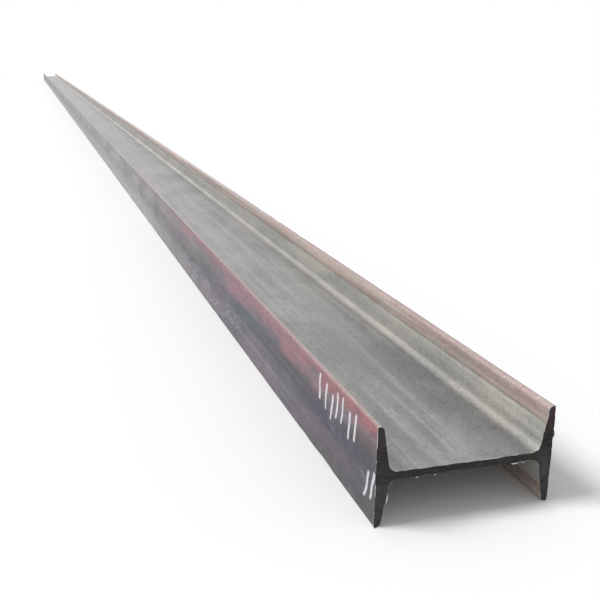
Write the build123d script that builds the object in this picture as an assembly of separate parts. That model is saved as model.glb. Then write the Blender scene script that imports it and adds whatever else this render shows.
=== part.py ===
from build123d import *
from math import radians, tan
import os

# A straight length of hot-rolled structural steel with tapered flanges, sawn square at both ends.
# It lies on its flange tips: the web is level and the two flanges stand upright.
# X runs across the section, Y along the length and Z up. The origin is the middle of its footprint.

# Driving dimensions in millimetres and degrees
SECTION_DEPTH = 160.0        # from one outer flange face to the other
FLANGE_WIDTH = 88.0          # from tip to tip of a flange
WEB_THICKNESS = 6.5
FLANGE_THICKNESS = 8.8       # mean value, halfway between the web and a tip
FLANGE_TAPER_DEG = 9.46      # inner flange face against the outer one, a slope of 1 in 6
ROOT_RADIUS = 8.0            # fillet where the web runs into a flange
TOE_RADIUS = 4.5             # inner edge of a flange tip, rounded by the rolls
EDGE_RADIUS = 0.5            # outer edge of a flange tip
BEAM_LENGTH = 12000.0

# A toe takes up no more of a flange tip than this, so that the tip keeps a flat to lie on
TOE_SHARE_OF_TIP = 0.85


def rolled_section():
    """The whole section, from one quarter of it mirrored about the web and about the beam's middle."""
    half_depth = SECTION_DEPTH / 2
    half_width = FLANGE_WIDTH / 2
    half_web = WEB_THICKNESS / 2
    taper = tan(radians(FLANGE_TAPER_DEG))
    outstand_middle = (half_width - half_web) / 2
    tip_thickness = FLANGE_THICKNESS - taper * outstand_middle
    root_thickness = FLANGE_THICKNESS + taper * outstand_middle
    toe_radius = min(TOE_RADIUS, TOE_SHARE_OF_TIP * tip_thickness)

    outer_edge = (half_depth, half_width)
    toe = (half_depth - tip_thickness, half_width)
    root = (half_depth - root_thickness, half_web)

    section_plane = Plane(origin=(0, 0, half_width), x_dir=(1, 0, 0), z_dir=(0, -1, 0))
    with BuildSketch(section_plane) as section:
        with BuildLine():
            Polyline((0, 0), (half_depth, 0), outer_edge, toe, root, (0, half_web), close=True)
        make_face()
        for corner, radius in ((outer_edge, EDGE_RADIUS), (toe, toe_radius), (root, ROOT_RADIUS)):
            fillet(section.vertices().sort_by_distance(corner)[0], radius)
        mirror(about=Plane.YZ)
        mirror(about=Plane.XZ)
    return section.sketch


def rolled_beam():
    """The section drawn out along the length, half of it each way from the middle."""
    return extrude(rolled_section(), amount=BEAM_LENGTH / 2, both=True)


os.makedirs("parts", exist_ok=True)
export_step(rolled_beam(), "parts/h_beam.step")
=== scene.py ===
import bmesh
import bpy
import math
import random
from functools import cached_property
from mathutils import Color, Matrix, Vector, noise


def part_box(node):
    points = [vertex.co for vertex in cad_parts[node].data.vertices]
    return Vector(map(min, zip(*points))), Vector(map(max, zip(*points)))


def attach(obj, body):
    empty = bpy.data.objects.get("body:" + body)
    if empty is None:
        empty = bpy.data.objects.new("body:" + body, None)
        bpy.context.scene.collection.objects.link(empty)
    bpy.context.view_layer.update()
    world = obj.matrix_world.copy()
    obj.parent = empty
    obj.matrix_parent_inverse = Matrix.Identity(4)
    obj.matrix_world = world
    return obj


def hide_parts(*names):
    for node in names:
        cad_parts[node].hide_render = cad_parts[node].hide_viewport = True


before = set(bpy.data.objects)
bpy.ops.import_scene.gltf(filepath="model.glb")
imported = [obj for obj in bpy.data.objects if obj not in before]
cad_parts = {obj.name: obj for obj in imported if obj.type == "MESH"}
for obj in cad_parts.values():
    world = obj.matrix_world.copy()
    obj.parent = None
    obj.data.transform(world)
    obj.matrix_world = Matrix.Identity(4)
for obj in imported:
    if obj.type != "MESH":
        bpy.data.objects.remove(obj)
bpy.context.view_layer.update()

# The rolled beam: one bar of structural steel, squeezed hot between rolls into two tapered flanges and
# a web, then cut to length by a saw. The section is drawn out along the bar, with the line that the edging
# rolls leave inside each flange, knocks along the flange tips and a ragged burr round both cuts.
low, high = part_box("h_beam")
middle = (low + high) / 2
half_depth = (high.x - low.x) / 2
half_width = (high.z - low.z) / 2
bar_length = high.y - low.y
half_web = 0.00325
flange_thickness = 0.0088
taper_angle = math.radians(9.46)
root_radius = 0.008
toe_radius = 0.0045
edge_radius = 0.0005
taper_rise = math.tan(taper_angle) * (half_width - half_web) / 2
tip_thickness = flange_thickness - taper_rise
root_thickness = flange_thickness + taper_rise
inner_root = half_depth - root_thickness

# One quarter of the section, with its edge, toe and root rounded
bar = bmesh.new()
girth = bar.verts.layers.float.new("girth")
burr = bar.verts.layers.float.new("burr")
bake_map = bar.loops.layers.uv.new("OFBake")
outer_edge = bar.verts.new((half_depth, 0, half_width))
toe = bar.verts.new((half_depth - tip_thickness, 0, half_width))
root = bar.verts.new((inner_root, 0, half_web))
bar.faces.new((
    bar.verts.new((0, 0, 0)),
    bar.verts.new((half_depth, 0, 0)),
    outer_edge,
    toe,
    root,
    bar.verts.new((0, 0, half_web)),
))
square_turn = math.radians(90)
for corner, radius, turn, segments in (
    (outer_edge, edge_radius, square_turn, 2),
    (toe, toe_radius, square_turn - taper_angle, 6),
    (root, root_radius, square_turn - taper_angle, 8),
):
    bmesh.ops.bevel(
        bar, geom=[corner], offset=radius * math.tan(turn / 2), offset_type="OFFSET",
        segments=segments, profile=0.5, affect="VERTICES", material=-1,
    )

# The line that the edging rolls leave on the sloping inner face of a flange
roll_line_from_tip = 0.015
roll_line_half_width = 0.0014
roll_line_depth = 0.0003
inner_face = max(
    (e for e in bar.edges if all(half_web + edge_radius < v.co.z < half_width for v in e.verts)),
    key=lambda edge: edge.calc_length(),
)
upper_end = max(inner_face.verts, key=lambda vert: vert.co.z).co.copy()
lower_end = min(inner_face.verts, key=lambda vert: vert.co.z).co.copy()
slope = (lower_end - upper_end) / (upper_end.z - lower_end.z)
split = bmesh.ops.bisect_edges(bar, edges=[inner_face], cuts=3)["geom_split"]
line_verts = [part for part in split if isinstance(part, bmesh.types.BMVert)]
line_verts.sort(key=lambda vert: -vert.co.z)
for vert, step, depth in zip(line_verts, (-1, 0, 1), (0, roll_line_depth, 0)):
    below_tip = roll_line_from_tip + step * roll_line_half_width
    vert.co = upper_end + slope * (below_tip - (half_width - upper_end.z))
    vert.co.x += depth

# The quarter mirrored both ways, and its long edges split for the ripples
for axis in ("X", "Z"):
    everything = bar.verts[:] + bar.edges[:] + bar.faces[:]
    bmesh.ops.mirror(bar, geom=everything, matrix=Matrix(), merge_dist=1e-6, axis=axis)
bmesh.ops.dissolve_faces(bar, faces=bar.faces[:], use_verts=False)
widest_strip = 0.011
for edge in bar.edges[:]:
    cuts = int(edge.calc_length() / widest_strip)
    if cuts:
        bmesh.ops.bisect_edges(bar, edges=[edge], cuts=cuts)
bmesh.ops.translate(bar, verts=bar.verts[:], vec=(0, low.y, middle.z))

# How far round the section each point lies, from one outer edge, for the bake map
(near_cut,) = bar.faces
corner = max(near_cut.loops, key=lambda loop: loop.vert.co.x + loop.vert.co.z)
perimeter = 0.0
for _ in near_cut.loops:
    corner.vert[girth] = perimeter
    perimeter += corner.edge.calc_length()
    corner = corner.link_loop_next

# Rings of points along the bar: close together near the cuts, where knocks and ripples show, wide between
cut_rings = (0.0018, 0.0045)
close_spacing, close_stretch = 0.007, 1.4
wide_spacing = 0.08
far_spacing, far_stretch = 0.014, 0.7
rings = [0.0, *cut_rings]
for spacing, stop in (
    (close_spacing, close_stretch),
    (wide_spacing, bar_length - far_stretch),
    (far_spacing, bar_length - 2 * far_spacing),
):
    while rings[-1] < stop:
        rings.append(rings[-1] + spacing)
rings += [bar_length - distance for distance in (*reversed(cut_rings), 0.0)]

drawn = bmesh.ops.extrude_face_region(bar, geom=[near_cut])["geom"]
far_cut = next(part for part in drawn if isinstance(part, bmesh.types.BMFace))
bmesh.ops.translate(bar, verts=far_cut.verts[:], vec=(0, bar_length, 0))
long_edges = [edge for edge in bar.edges if edge.calc_length() > bar_length / 2]
bmesh.ops.subdivide_edges(bar, edges=long_edges, cuts=len(rings) - 2, use_grid_fill=True)
even_spacing = bar_length / (len(rings) - 1)
for vert in bar.verts:
    vert.co.y = low.y + rings[round((vert.co.y - low.y) / even_spacing)]
bmesh.ops.recalc_face_normals(bar, faces=bar.faces[:])
bar.normal_update()

# Ripples over the faces, worn tips and knocks from handling, all of which only take metal away.
# Ripples and wear are counted to the metre.
random.seed(12)
ripple_depth = 0.00012
long_ripples = Vector((30, 5, 30))
short_ripples, short_ripple_share = Vector((80, 22, 80)), 0.5
tip_reach = 0.006
tip_wear, wear_everywhere = 0.00035, 0.4
slow_wear, quick_wear, quick_wear_share = 8, 60, 0.3
tips_apart = 9
knock_sizes, knock_depths = (0.004, 0.013), (0.0003, 0.0014)
near_knocks, far_knocks = 34, 12


def wear_along(tip, y, to_the_metre):
    """Unevenness along one of the four flange tips, different on each."""
    return noise.noise((tip[0] * tips_apart, y * to_the_metre, tip[1] * tips_apart))


knocks = {}
for start, end, count in (
    (0.0, close_stretch, near_knocks),
    (bar_length - far_stretch, bar_length, far_knocks),
):
    for _ in range(count):
        tip = (random.choice((-1, 1)), random.choice((-1, 1)))
        place = low.y + random.uniform(start, end)
        size = random.uniform(*knock_sizes)
        depth = random.uniform(*knock_depths)
        knocks.setdefault(tip, []).append((place, size, depth))
for vert in bar.verts:
    x, y, z = vert.co
    ripple = noise.noise(vert.co * long_ripples)
    ripple += short_ripple_share * noise.noise(vert.co * short_ripples)
    shift = vert.normal * ripple_depth * (ripple - 1)
    shift.y = 0
    tip = (1 if x > 0 else -1, 1 if z > middle.z else -1)
    nearness = 1 - (half_width - abs(z - middle.z)) / tip_reach
    if nearness > 0:
        worn = tip_wear * max(0, wear_everywhere + wear_along(tip, y, slow_wear))
        worn += quick_wear_share * tip_wear * max(0, wear_along(tip, y, quick_wear))
        for place, size, depth in knocks.get(tip, ()):
            worn += depth * math.exp(-(((y - place) / size) ** 2))
        shift.z -= tip[1] * worn * nearness
    vert.co += shift

# The saw's burr: a ragged lip that stands proud all round each cut, with short rows of metal beads on it
lip_spacing = 0.0022
lip_width = 0.0003
lip_height = 0.0011
coarse_rag, fine_rag, fine_rag_share = 70, 260, 0.8
rag_everywhere, most_rag = 0.3, 0.8
bead_rows = 4
bead_row_reach = 0.016
bead_share = 0.22
bead_size = 0.0016
bead_height = 0.0017
bead_overhang = 0.0009
for cut, outwards in ((near_cut, -1), (far_cut, 1)):
    by_cuts = {}
    for edge in cut.edges:
        by_cuts.setdefault(int(edge.calc_length() / lip_spacing), []).append(edge)
    for cuts, edges in by_cuts.items():
        if cuts:
            bmesh.ops.bisect_edges(bar, edges=edges, cuts=cuts)
    walls = dict.fromkeys(face for edge in cut.edges for face in edge.link_faces if face is not cut)
    bmesh.ops.triangulate(bar, faces=[face for face in walls if len(face.verts) > 4])
    lip = bmesh.ops.inset_region(bar, faces=[cut], thickness=lip_width, use_even_offset=True)["faces"]
    for face in (cut, *lip):
        face.material_index = 1
    bar.normal_update()
    lip_verts = {vert for face in lip for vert in face.verts} - set(cut.verts)
    lip_verts = sorted(lip_verts, key=lambda vert: (vert.co.x, vert.co.z))
    row_centres = [vert.co.copy() for vert in random.sample(lip_verts, bead_rows)]
    beads = [
        vert.co.copy() for vert in lip_verts
        if random.random() < bead_share and any((vert.co - c).length < bead_row_reach for c in row_centres)
    ]
    for vert in lip_verts:
        rag = noise.noise(vert.co * coarse_rag) + fine_rag_share * noise.noise(vert.co * fine_rag)
        nearest = min(((vert.co - centre).length for centre in beads), default=math.inf)
        bead = math.exp(-((nearest / bead_size) ** 2))
        vert[burr] = max(bead, min(most_rag, rag_everywhere + rag))
        sideways = Vector((vert.normal.x, 0, vert.normal.z)).normalized()
        vert.co += sideways * bead_overhang * bead
        vert.co.y += outwards * max(lip_height * vert[burr], bead_height * bead)
        vert.co.z = max(vert.co.z, low.z)

# The export's bake map: the stretch by the near cut enlarged, the rest in two strips, the cuts above them
strip_gap = 0.012
end_gap = 0.02
rest_middle = (close_stretch + bar_length) / 2
strips = ((0.0, close_stretch, 2), (close_stretch, rest_middle, 1), (rest_middle, bar_length, 1))
cut_enlarged = 3
strip_feet = [strip_gap]
for _, _, enlarged in strips:
    strip_feet.append(strip_feet[-1] + enlarged * perimeter + strip_gap)
cut_row = strip_feet[-1] + cut_enlarged * half_width
map_height = cut_row + cut_enlarged * half_width + strip_gap
for face in bar.faces:
    centre = face.calc_center_median().y - low.y
    if face.material_index:
        cut_start = strip_gap
        if centre > bar_length / 2:
            cut_start += cut_enlarged * 2 * half_depth + strip_gap
        for corner in face.loops:
            sideways = cut_start + cut_enlarged * (corner.vert.co.x + half_depth)
            upwards = cut_row + cut_enlarged * (corner.vert.co.z - middle.z)
            corner[bake_map].uv = (sideways / map_height, upwards / map_height)
    else:
        number = sum(centre > end for _, end, _ in strips[:-1])
        start, end, enlarged = strips[number]
        wraps = max(corner.vert[girth] for corner in face.loops) > perimeter / 2
        for corner in face.loops:
            round_section = corner.vert[girth]
            if wraps and round_section == 0:
                round_section = perimeter
            sideways = (corner.vert.co.y - low.y - start) / (end - start)
            upwards = strip_feet[number] + enlarged * round_section
            corner[bake_map].uv = (end_gap + sideways * (1 - 2 * end_gap), upwards / map_height)

for face in bar.faces:
    face.smooth = face not in (near_cut, far_cut)
bmesh.ops.triangulate(bar, faces=[near_cut, far_cut], quad_method="BEAUTY", ngon_method="BEAUTY")
bar.verts.layers.float.remove(girth)
beam_mesh = bpy.data.meshes.new("rolled_beam")
bar.to_mesh(beam_mesh)
bar.free()
sharp_angle = math.radians(38)
beam_mesh.set_sharp_from_angle(angle=sharp_angle)
beam = bpy.data.objects.new("rolled_beam", beam_mesh)
bpy.context.scene.collection.objects.link(beam)


def paint(red, green, blue):
    """A colour given as it looks on a screen, from 0 to 255, as the shader's own linear colour."""
    on_screen = Color((red / 255, green / 255, blue / 255))
    return (*on_screen.from_srgb_to_scene_linear(), 1)


class Finish:
    """The nodes of one finish. Its masks run from 0 to 1, and its places and sizes are in metres."""

    def __init__(self, owner):
        owner.use_nodes = True
        self.tree = owner.node_tree

    def add(self, kind, **settings):
        """A new node of this kind, with these settings."""
        node = self.tree.nodes.new("ShaderNode" + kind)
        for name, setting in settings.items():
            setattr(node, name, setting)
        return node

    def feed(self, socket, value):
        """Gives a socket its value: a link from another socket, or a plain number or colour."""
        if isinstance(value, bpy.types.NodeSocket):
            self.tree.links.new(value, socket)
        else:
            socket.default_value = value

    @cached_property
    def place(self):
        """Where a point lies on the piece."""
        return self.add("TexCoord").outputs["Object"]

    def axes(self):
        """How far across, along and up a point lies."""
        apart = self.add("SeparateXYZ")
        self.feed(apart.inputs["Vector"], self.place)
        return tuple(apart.outputs)

    def calc(self, operation, *values):
        """The result of one sum on these values."""
        node = self.add("Math", operation=operation)
        for socket, value in zip(node.inputs, values):
            self.feed(socket, value)
        return node.outputs["Value"]

    def times(self, mask, *others):
        """A mask cut down by other masks or by plain shares."""
        for other in others:
            mask = self.calc("MULTIPLY", mask, other)
        return mask

    def nudged(self, value, cloud, by):
        """A value raised where a cloud is dense and lowered where it is thin."""
        return self.calc("MULTIPLY_ADD", self.calc("SUBTRACT", cloud, 0.5), by, value)

    def ease(self, value, start, end):
        """0 at start and beyond it, 1 at end and beyond it, and a smooth rise between them."""
        node = self.add("MapRange", interpolation_type="SMOOTHSTEP")
        self.feed(node.inputs["Value"], value)
        self.feed(node.inputs["From Min"], start)
        self.feed(node.inputs["From Max"], end)
        return node.outputs["Result"]

    def spread(self, mask, first, last):
        """A mask spread evenly from one value to another."""
        node = self.add("MapRange")
        self.feed(node.inputs["Value"], mask)
        self.feed(node.inputs["To Min"], first)
        self.feed(node.inputs["To Max"], last)
        return node.outputs["Result"]

    def tint(self, colour, over, share, kind="MIX"):
        """A colour with another laid over it, for this share of it."""
        node = self.add("Mix", data_type="RGBA", blend_type=kind)
        colour_socket, over_socket = [socket for socket in node.inputs if socket.type == "RGBA"]
        self.feed(node.inputs["Factor"], share)
        self.feed(colour_socket, colour)
        self.feed(over_socket, over)
        return next(socket for socket in node.outputs if socket.type == "RGBA")

    def clouds(self, lump, detail=4, roughness=0.55, distortion=0.0, lean=0.0, shift=(0, 0, 0)):
        """Noise, mostly between 0.3 and 0.7, in lumps of this size across, along and up.

        The lumps may lean up towards the near cut.
        """
        mapping = self.add("Mapping", vector_type="TEXTURE")
        self.feed(mapping.inputs["Vector"], self.place)
        self.feed(mapping.inputs["Scale"], lump)
        self.feed(mapping.inputs["Rotation"], (-lean, 0, 0))
        self.feed(mapping.inputs["Location"], shift)
        node = self.add("TexNoise")
        self.feed(node.inputs["Vector"], mapping.outputs["Vector"])
        self.feed(node.inputs["Scale"], 1)
        self.feed(node.inputs["Detail"], detail)
        self.feed(node.inputs["Roughness"], roughness)
        self.feed(node.inputs["Distortion"], distortion)
        return node.outputs["Fac"]

    def relief(self, height, distance, strength, under=None):
        """The surface's direction, tilted by a height, over the relief that is already there."""
        node = self.add("Bump")
        self.feed(node.inputs["Height"], height)
        self.feed(node.inputs["Distance"], distance)
        self.feed(node.inputs["Strength"], strength)
        if under:
            self.feed(node.inputs["Normal"], under)
        return node.outputs["Normal"]


def burr_glint_mask(finish):
    """1 on the beads of the saw's burr and less on its lip, where the painted glint goes."""
    dull_lip, bright_bead = 0.3, 0.85
    proud = finish.add("Attribute", attribute_name="burr").outputs["Fac"]
    return finish.ease(proud, dull_lip, bright_bead)


# Mill scale: the thin blue-grey oxide skin of hot-rolled steel, cloudy along the bar and flaked in places,
# with red rust from the upper flange edges down, paler dusty faces inside the channel, and painted
# highlights on the upper tips and the saw's burr
mill_scale = bpy.data.materials.new("mill_scale")
skin = Finish(mill_scale)
x, y, upward = skin.axes()
across = skin.calc("ABSOLUTE", x)
along = skin.calc("SUBTRACT", y, low.y)
from_top = skin.calc("SUBTRACT", high.z, upward)
from_web = skin.calc("ABSOLUTE", skin.calc("SUBTRACT", upward, middle.z))
from_tip = skin.calc("SUBTRACT", half_width, from_web)
outer_from, outer_to = 0.0024, 0.0006
outside = skin.ease(across, half_depth - outer_from, half_depth - outer_to)
left_face = skin.times(outside, skin.calc("LESS_THAN", x, 0))
on_web = skin.ease(across, inner_root, inner_root - root_radius)

scale_lean, scuff_lean = math.radians(10), math.radians(20)
broad = skin.clouds((0.08, 0.18, 0.05), detail=3, distortion=0.4, lean=scale_lean)
patchy = skin.clouds((0.03, 0.06, 0.024), detail=6, distortion=0.5, lean=scale_lean, shift=(0.1, 0.3, 0.2))
flaky = skin.clouds((0.011, 0.018, 0.01), detail=8, roughness=0.64, distortion=0.3, shift=(0.2, 0.1, 0.4))
streaky = skin.clouds((0.012, 0.5, 0.005), shift=(0.2, 0.5, 0.3))
scuffed = skin.clouds(
    (0.03, 0.05, 0.0022), detail=3, distortion=0.3, lean=scuff_lean, shift=(0.3, 0.2, 0.1),
)
gritty = skin.clouds((0.004, 0.006, 0.004), distortion=0.4, shift=(0.1, 0.2, 0.6))
fine = skin.clouds((0.0022, 0.004, 0.0022), detail=3)
speck = skin.clouds((0.0012, 0.0016, 0.0012), detail=2, shift=(0.4, 0.4, 0.4))
wobble = skin.clouds((0.05, 0.05, 0.03), detail=1)
flaky_share = 0.35
ragged = skin.calc("MULTIPLY_ADD", skin.calc("SUBTRACT", flaky, patchy), flaky_share, patchy)
in_clouds = skin.ease(broad, 0.38, 0.62)

# Outer flange faces: dark and cloudy over the first metre or so from the cut, paler and plainer beyond it,
# with a blue-black band along the middle, a pale foot further on and faint streaks
dark_scale, dark_cloud = paint(75, 76, 85), paint(101, 92, 100)
pale_scale, pale_cloud = paint(120, 120, 121), paint(139, 138, 138)
blue_black, dust, streak = paint(54, 56, 62), paint(166, 164, 166), paint(140, 130, 134)
plain_from, dark_to = 1.8, 0.45
band_foot, band_top = (0.028, 0.044), (0.070, 0.052)
band_wave, band_rag = 0.05, 0.03
band_on_flakes, band_far_off, band_by_cut = 0.5, 0.2, 0.8
foot_heights, foot_stretch = (0.05, 0.008), (0.45, 1.6)
foot_share, streak_share = 0.45, 0.3
by_the_cut = skin.ease(along, plain_from, dark_to)
near_colour = skin.tint(dark_scale, dark_cloud, in_clouds)
far_colour = skin.tint(pale_scale, pale_cloud, in_clouds)
outer = skin.tint(far_colour, near_colour, by_the_cut)
band_height = skin.nudged(skin.nudged(upward, broad, band_wave), patchy, band_rag)
dark_band = skin.times(
    skin.ease(band_height, *band_foot),
    skin.ease(band_height, *band_top),
    skin.spread(skin.ease(flaky, 0.62, 0.4), band_on_flakes, 1.0),
    skin.spread(by_the_cut, band_far_off, band_by_cut),
)
outer = skin.tint(outer, blue_black, dark_band)
pale_foot = skin.times(skin.ease(band_height, *foot_heights), skin.ease(along, *foot_stretch), foot_share)
outer = skin.tint(outer, dust, pale_foot)
outer = skin.tint(outer, streak, skin.times(skin.ease(streaky, 0.54, 0.75), streak_share))

# Rust: a rosy bloom that creeps down from the upper edge in patches, most of it near the cut
old_rust, fresh_rust = paint(136, 107, 115), paint(142, 100, 103)
rust_from, rust_full = 1.3, 0.3
rust_foot, rust_top = 0.031, 0.002
rust_far_off, rust_by_cut = 0.1, 0.85
creep = from_top
for cloud, by in ((broad, 0.06), (patchy, 0.05), (flaky, 0.03)):
    creep = skin.nudged(creep, cloud, by)
rusty_stretch = skin.ease(along, rust_from, rust_full)
rust_share = skin.spread(rusty_stretch, rust_far_off, rust_by_cut)
rust = skin.times(skin.ease(creep, rust_foot, rust_top), rust_share)
outer = skin.tint(outer, skin.tint(old_rust, fresh_rust, skin.ease(flaky, 0.4, 0.6)), rust)

oval_lean = 0.4
oval_raggedness = 4.0
oval_edge, oval_heart = 1.3, 0.1


def oval(distance, height, reach, rise):
    """1 in an oval on a flange face, so far from the cut and so high, that breaks up towards its edge."""
    sideways = skin.calc("DIVIDE", skin.calc("SUBTRACT", along, distance), reach)
    upwards = skin.calc("DIVIDE", skin.calc("SUBTRACT", upward, height), rise)
    sideways = skin.calc("MULTIPLY_ADD", upwards, oval_lean, sideways)
    off_centre = skin.calc("MULTIPLY_ADD", sideways, sideways, skin.times(upwards, upwards))
    return skin.ease(skin.nudged(off_centre, ragged, oval_raggedness), oval_edge, oval_heart)


# Heat tints on the left face near the cut, and a painted shade low by the cut: colour, share, distance
# from the cut, height, reach and rise
brick, dusky_rose, magenta = paint(150, 84, 84), paint(146, 102, 104), paint(146, 96, 118)
dark_teal, soot_and_shade, indigo = paint(44, 64, 64), paint(50, 50, 53), paint(44, 42, 64)
umber, mauve, olive = paint(46, 42, 44), paint(84, 72, 82), paint(106, 110, 101)
pale_rose, plum = paint(152, 110, 116), paint(102, 86, 98)
for heat_colour, share, distance, height, reach, rise in (
    (brick, 0.55, 0.04, 0.086, 0.15, 0.014),
    (dusky_rose, 0.22, 0.24, 0.082, 0.12, 0.010),
    (magenta, 0.45, 0.45, 0.070, 0.10, 0.016),
    (dark_teal, 0.72, 0.43, 0.050, 0.08, 0.013),
    # Dark low on the face by the cut: painted shade near the floor
    (soot_and_shade, 0.70, 0.00, 0.018, 0.20, 0.030),
    (soot_and_shade, 0.55, 0.26, 0.047, 0.13, 0.012),
    (indigo, 0.75, 0.10, 0.044, 0.11, 0.015),
    (umber, 0.50, 0.03, 0.060, 0.05, 0.012),
    (mauve, 0.40, 0.16, 0.020, 0.12, 0.014),
    (olive, 0.45, 0.77, 0.060, 0.12, 0.016),
    (pale_rose, 0.45, 0.84, 0.077, 0.07, 0.010),
    (plum, 0.45, 0.92, 0.056, 0.10, 0.016),
):
    spot = skin.times(oval(distance, height, reach, rise), share, left_face)
    outer = skin.tint(outer, heat_colour, spot)

# Flaked skin: paler where the scale came off, darker where it is whole, rust freckles, and grit low down
flaked_steel, whole_scale = paint(134, 125, 131), paint(58, 60, 67)
rust_freckle, dark_grit = paint(112, 68, 62), paint(42, 40, 42)
freckle_foot, freckle_top = 0.07, 0.0
grit_top, grit_foot = 0.026, 0.003
grit_from, grit_full = 1.3, 0.25
flaked_far_off, flaked_by_cut = 0.12, 0.26
whole_far_off, whole_by_cut = 0.1, 0.26
freckle_share, grit_share = 0.4, 0.7
flaked = skin.times(
    skin.ease(flaky, 0.5, 0.66),
    skin.ease(patchy, 0.36, 0.6),
    skin.spread(by_the_cut, flaked_far_off, flaked_by_cut),
)
outer = skin.tint(outer, flaked_steel, flaked)
whole_share = skin.spread(by_the_cut, whole_far_off, whole_by_cut)
outer = skin.tint(outer, whole_scale, skin.times(skin.ease(flaky, 0.49, 0.34), whole_share))
freckles = skin.times(
    skin.ease(gritty, 0.58, 0.66),
    skin.ease(creep, freckle_foot, freckle_top),
    rusty_stretch,
    freckle_share,
)
outer = skin.tint(outer, rust_freckle, freckles)
grit = skin.times(
    skin.ease(gritty, 0.55, 0.64),
    skin.ease(upward, grit_top, grit_foot),
    skin.ease(along, grit_from, grit_full),
    grit_share,
)
outer = skin.tint(outer, dark_grit, grit)

# Scuffs from handling low on the left face, in thin leaning strokes: distance, height, reach and rise
scuffed_steel = paint(186, 182, 186)
scuffs_on_scale, scuffs_on_flakes = 0.1, 0.45
scuff_strokes = skin.times(
    skin.ease(scuffed, 0.42, 0.66),
    skin.spread(skin.ease(flaky, 0.4, 0.6), scuffs_on_scale, scuffs_on_flakes),
    left_face,
)
for distance, height, reach, rise in (
    (0.76, 0.021, 0.10, 0.018),
    (0.61, 0.014, 0.08, 0.011),
    (0.50, 0.025, 0.06, 0.014),
    (1.45, 0.022, 0.20, 0.018),
):
    spot = skin.times(oval(distance, height, reach, rise), scuff_strokes)
    outer = skin.tint(outer, scuffed_steel, spot)

# Inside the flanges: pale dusty grey, pinkish between the roll line and the tip, with streaks
dusty_grey, dusty_cloud, dust_streak = paint(190, 188, 180), paint(172, 172, 168), paint(208, 202, 192)
pink_scale, pink_streak = paint(186, 164, 160), paint(204, 184, 172)
line_dirt = paint(112, 100, 94)
line_blur = 0.0012
line_edge, line_heart = 0.0022, 0.0004
palest_pink, faintest_line = 0.5, 0.2
line_share, dust_share = 0.7, 0.35
inner = skin.tint(dusty_grey, dusty_cloud, in_clouds)
edge_band = skin.times(
    skin.ease(from_tip, roll_line_from_tip + line_blur, roll_line_from_tip - line_blur),
    skin.spread(skin.ease(patchy, 0.3, 0.6), palest_pink, 1.0),
)
inner = skin.tint(inner, skin.tint(pink_scale, pink_streak, skin.ease(streaky, 0.42, 0.6)), edge_band)
from_line = skin.calc("ABSOLUTE", skin.calc("SUBTRACT", from_tip, roll_line_from_tip))
roll_line = skin.times(skin.ease(from_line, line_edge, line_heart), line_share)
inner = skin.tint(inner, line_dirt, skin.times(roll_line, skin.spread(patchy, faintest_line, 1.0)))
inner = skin.tint(inner, dust_streak, skin.times(skin.ease(streaky, 0.5, 0.72), dust_share))

# The web: darker streaked scale with worn patches, and dirt along its roots
web_scale, web_cloud = paint(140, 140, 141), paint(120, 121, 125)
web_streak, web_patch = paint(160, 158, 154), paint(112, 108, 106)
root_grime, brown_spot, rust_spot = paint(112, 100, 90), paint(132, 122, 114), paint(128, 100, 84)
web_streak_share, web_patch_share = 0.5, 0.4
least_grime, most_grime, grime_share = 0.1, 0.9, 0.5
brown_share, rust_spot_share = 0.08, 0.25
web = skin.tint(web_scale, web_cloud, in_clouds)
web = skin.tint(web, web_streak, skin.times(skin.ease(streaky, 0.45, 0.62), web_streak_share))
web = skin.tint(web, web_patch, skin.times(skin.ease(patchy, 0.5, 0.68), web_patch_share))
channel = skin.tint(inner, web, on_web)
root_dirt = skin.times(
    skin.ease(across, inner_root - 2 * root_radius, inner_root - root_radius / 2),
    skin.ease(across, inner_root + root_radius / 3, inner_root - root_radius / 4),
    skin.spread(patchy, least_grime, most_grime),
    grime_share,
)
channel = skin.tint(channel, root_grime, root_dirt)
channel = skin.tint(channel, brown_spot, skin.times(skin.ease(flaky, 0.54, 0.64), brown_share))
bloom = skin.times(skin.ease(gritty, 0.62, 0.7), skin.ease(patchy, 0.45, 0.65), rust_spot_share)
channel = skin.tint(channel, rust_spot, bloom)
colour = skin.tint(channel, outer, outside)

# All over: upper tips rubbed bright by slings and lightened further by a painted highlight along the edge,
# small dark pits and a fine grain
rubbed_steel_and_highlight, pit = paint(172, 152, 152), paint(50, 46, 48)
rub_foot, rub_top, rub_raggedness = 0.0022, 0.0002, 0.004
rub_share, pit_share = 0.75, 0.45
# The upper tips: rubbed steel plus a painted highlight along the edge
rubbed_and_highlit = skin.ease(skin.nudged(from_top, fine, rub_raggedness), rub_foot, rub_top)
colour = skin.tint(colour, rubbed_steel_and_highlight, skin.times(rubbed_and_highlit, rub_share))
colour = skin.tint(colour, pit, skin.times(skin.ease(speck, 0.6, 0.72), pit_share))
for grain, share in ((fine, 0.45), (gritty, 0.35), (flaky, 0.3), (streaky, 0.4)):
    colour = skin.tint(colour, grain, share, "SOFT_LIGHT")

# Plain strokes from a paint stick, by hand, on the left face near the cut
stick_white, burr_glint_white = paint(222, 222, 226), paint(214, 212, 212)
stroke_lean = 0.22
stroke_edge, stroke_heart = 0.0026, 0.0012
stroke_end = 0.003
stroke_wobble, stroke_raggedness = 0.016, 0.0016
stroke_slips = (0.36, 0.64)
highest_foot = 0.3
thinnest_paint = 0.5


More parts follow.
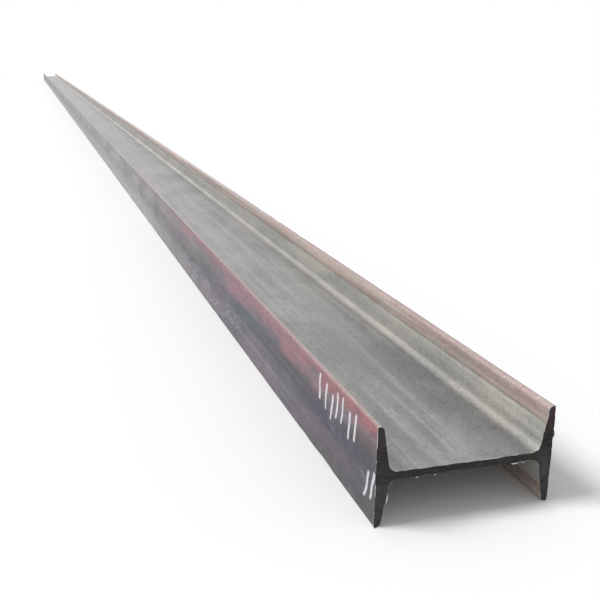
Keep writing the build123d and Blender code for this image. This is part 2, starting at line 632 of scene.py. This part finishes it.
def paint_strokes(first, pitch, count, foot, tall):
    """A row of strokes that starts so far from the cut, each of them a little out of line."""
    from_first = skin.nudged(skin.calc("SUBTRACT", along, first), wobble, stroke_wobble)
    above_foot = skin.calc("SUBTRACT", upward, foot)
    number = skin.calc("DIVIDE", skin.calc("MULTIPLY_ADD", above_foot, stroke_lean, from_first), pitch)
    in_row = skin.times(skin.calc("GREATER_THAN", number, 0), skin.calc("LESS_THAN", number, count))
    dice = skin.add("TexWhiteNoise", noise_dimensions="1D")
    skin.feed(dice.inputs["W"], skin.calc("FLOOR", number))
    chance = dice.outputs["Value"]
    off_line = skin.calc("SUBTRACT", skin.calc("FRACT", number), skin.spread(chance, *stroke_slips))
    off_line = skin.times(skin.calc("ABSOLUTE", off_line), pitch)
    off_line = skin.nudged(off_line, fine, stroke_raggedness)
    above_foot = skin.calc("SUBTRACT", above_foot, skin.times(chance, highest_foot * tall))
    return skin.times(
        in_row,
        skin.ease(off_line, stroke_edge, stroke_heart),
        skin.ease(above_foot, 0.0, stroke_end),
        skin.ease(above_foot, tall, tall - stroke_end),
    )


upper_row = paint_strokes(first=0.044, pitch=0.0155, count=7, foot=0.046, tall=0.029)
lower_row = paint_strokes(first=0.006, pitch=0.012, count=2, foot=0.014, tall=0.029)
strokes = skin.times(skin.calc("MAXIMUM", upper_row, lower_row), left_face)
strokes = skin.times(strokes, skin.spread(speck, 1.0, thinnest_paint))
colour = skin.tint(colour, stick_white, strokes)
# The saw's burr: a near-white painted glint on its beads and lip
colour = skin.tint(colour, burr_glint_white, burr_glint_mask(skin))

# Roughness and fine relief: smoother inside the channel, duller where the scale is flaked or rusty
channel_roughness, outer_roughness = (0.2, 0.4), (0.4, 0.62)
flake_dullness, rust_dullness = 0.08, 0.12
channel_metal, outer_metal = 0.45, 0.0
roughness = skin.spread(
    outside, skin.spread(streaky, *channel_roughness), skin.spread(patchy, *outer_roughness),
)
roughness = skin.calc("MULTIPLY_ADD", skin.ease(flaky, 0.5, 0.62), flake_dullness, roughness)
roughness = skin.calc("MULTIPLY_ADD", rust, rust_dullness, roughness)
pitted = skin.relief(speck, distance=0.0004, strength=0.25)
pitted = skin.relief(fine, distance=0.0008, strength=0.25, under=pitted)
pitted = skin.relief(skin.ease(flaky, 0.56, 0.5), distance=0.0003, strength=0.3, under=pitted)
pitted = skin.relief(patchy, distance=0.0016, strength=0.2, under=pitted)
shader = skin.tree.nodes["Principled BSDF"]
skin.feed(shader.inputs["Base Color"], colour)
skin.feed(shader.inputs["Roughness"], roughness)
skin.feed(shader.inputs["Metallic"], skin.spread(outside, channel_metal, outer_metal))
skin.feed(shader.inputs["Normal"], pitted)
beam_mesh.materials.append(mill_scale)

# The sawn face: dark bare steel, dulled since it was cut and darkened further as painted shade, with the
# saw's lines across it, brown stains on the web and the upper tips, and paler flanges under the web
cut_steel_and_shade, cut_stain, cut_grime = paint(48, 48, 50), paint(36, 34, 32), paint(72, 71, 71)
saw_bright, brown_web, brown_tip = paint(88, 86, 85), paint(38, 36, 31), paint(68, 50, 48)
pale_cut, bead_glint_white = paint(74, 74, 77), paint(226, 226, 228)
brown_from, brown_to = 0.056, 0.084
pale_from, pale_to = 0.044, 0.03
brown_web_share, brown_tip_share, pale_share = 0.6, 0.6, 0.55
cut_grime_share, saw_share = 0.6, 0.35
dullness = (0.4, 0.65)
sawn_steel = bpy.data.materials.new("sawn_steel")
sawn = Finish(sawn_steel)
x, _, upward = sawn.axes()
across = sawn.calc("ABSOLUTE", x)
stain = sawn.clouds((0.03, 0.03, 0.03), distortion=0.6)
grime = sawn.clouds((0.008, 0.008, 0.008), shift=(0.2, 0.8, 0.3))
saw_lines = sawn.clouds((0.02, 0.02, 0.0008), detail=2)
# The sawn face's dark base: dull steel, darker still as painted shade
colour = sawn.tint(cut_steel_and_shade, cut_stain, sawn.ease(stain, 0.4, 0.62))
on_web = sawn.ease(across, inner_root, inner_root - root_radius)
colour = sawn.tint(colour, brown_web, sawn.times(on_web, brown_web_share))
under_web = sawn.times(sawn.ease(upward, pale_from, pale_to), sawn.ease(grime, 0.3, 0.6), pale_share)
colour = sawn.tint(colour, pale_cut, under_web)
colour = sawn.tint(colour, cut_grime, sawn.times(sawn.ease(grime, 0.52, 0.7), cut_grime_share))
colour = sawn.tint(colour, saw_bright, sawn.times(sawn.ease(saw_lines, 0.5, 0.7), saw_share))
brown_tips = sawn.ease(upward, brown_from, brown_to)
brown_tips = sawn.times(brown_tips, sawn.ease(stain, 0.3, 0.6), brown_tip_share)
colour = sawn.tint(colour, brown_tip, brown_tips)
# The burr's beads: a near-white painted glint
colour = sawn.tint(colour, bead_glint_white, burr_glint_mask(sawn))
shader = sawn.tree.nodes["Principled BSDF"]
sawn.feed(shader.inputs["Base Color"], colour)
sawn.feed(shader.inputs["Roughness"], sawn.spread(grime, *dullness))
sawn.feed(shader.inputs["Metallic"], 0.3)
sawn.feed(shader.inputs["Specular IOR Level"], 0.2)
sawn.feed(shader.inputs["Normal"], sawn.relief(saw_lines, distance=0.0006, strength=0.35))
beam_mesh.materials.append(sawn_steel)

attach(beam, "root")
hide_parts("h_beam")

# The floor: a plain pale sheet, laid level under the bar, that takes the bar's soft shadow
# and runs out to white away from it
floor_radius = 150
shadow_reach, white_from = 0.1, 1.2
pale, white = (0.92, 0.92, 0.92, 1), (1, 1, 1, 1)
floor_mesh = bpy.data.meshes.new("floor")
ground = bmesh.new()
bmesh.ops.create_circle(ground, cap_ends=True, segments=96, radius=floor_radius)
ground.to_mesh(floor_mesh)
ground.free()
floor = bpy.data.objects.new("floor", floor_mesh)
bpy.context.scene.collection.objects.link(floor)


def looked_at(finish):
    """1 for the camera and for what shows in gloss or glass, 0 for plain light."""
    path = finish.add("LightPath")
    seen = finish.calc("MAXIMUM", path.outputs["Is Camera Ray"], path.outputs["Is Glossy Ray"])
    return finish.calc("MAXIMUM", seen, path.outputs["Is Transmission Ray"])


pale_sheet = bpy.data.materials.new("pale_sheet")
sheet = Finish(pale_sheet)
x, y, _ = sheet.axes()
beside = sheet.calc("SUBTRACT", sheet.calc("ABSOLUTE", x), half_depth)
beyond = sheet.calc("SUBTRACT", sheet.calc("ABSOLUTE", y), bar_length / 2)
away = sheet.ease(sheet.calc("MAXIMUM", beside, beyond), shadow_reach, white_from)
shader = sheet.tree.nodes["Principled BSDF"]
sheet.feed(shader.inputs["Base Color"], pale)
sheet.feed(shader.inputs["Roughness"], 0.9)
backdrop = sheet.add("Emission")
sheet.feed(backdrop.inputs["Color"], white)
fade = sheet.add("MixShader")
shadowed, faded = [socket for socket in fade.inputs if socket.type == "SHADER"]
sheet.feed(fade.inputs["Fac"], sheet.times(away, looked_at(sheet)))
sheet.feed(shadowed, shader.outputs["BSDF"])
sheet.feed(faded, backdrop.outputs["Emission"])
sheet.feed(sheet.tree.nodes["Material Output"].inputs["Surface"], fade.outputs["Shader"])
floor_mesh.materials.append(pale_sheet)

# Studio light: an even white surround and one large soft lamp from the left, above and a little behind
surround_light, surround_white = 0.55, 1.0
lamp_strength = 2.2
lamp_size = math.radians(25)
lamp_direction = Vector((0.6, -0.15, -0.78))
surround = bpy.data.worlds.new("surround")
bpy.context.scene.world = surround
studio = Finish(surround)
background = studio.tree.nodes["Background"]
studio.feed(background.inputs["Color"], white)
surround_strength = studio.spread(looked_at(studio), surround_light, surround_white)
studio.feed(background.inputs["Strength"], surround_strength)

lamp = bpy.data.lights.new("lamp", "SUN")
lamp.energy = lamp_strength
lamp.angle = lamp_size
lamp_stand = bpy.data.objects.new("lamp", lamp)
lamp_stand.rotation_mode = "QUATERNION"
lamp_stand.rotation_quaternion = lamp_direction.to_track_quat("-Z", "Y")
bpy.context.scene.collection.objects.link(lamp_stand)

# The camera stands off the near cut, to its left, as the photograph's did, and looks along the bar
off_left_face, off_cut, eye_height = 0.243, 0.561, 0.364
turn, dip, roll = math.radians(17.6), math.radians(16.0), math.radians(-0.9)
camera_data = bpy.data.cameras.new("camera")
camera_data.sensor_width = 36
camera_data.lens = 51
camera_data.clip_start = 0.01
camera_data.clip_end = 500
camera = bpy.data.objects.new("camera", camera_data)
forward = Vector((math.sin(turn) * math.cos(dip), math.cos(turn) * math.cos(dip), -math.sin(dip)))
level_right = forward.cross(Vector((0, 0, 1))).normalized()
right = Matrix.Rotation(roll, 3, forward) @ level_right
camera.matrix_world = Matrix((right, right.cross(forward), -forward)).transposed().to_4x4()
camera.location = (low.x - off_left_face, low.y - off_cut, eye_height)
bpy.context.scene.collection.objects.link(camera)
bpy.context.scene.camera = camera

bpy.context.scene.view_settings.view_transform = "Standard"
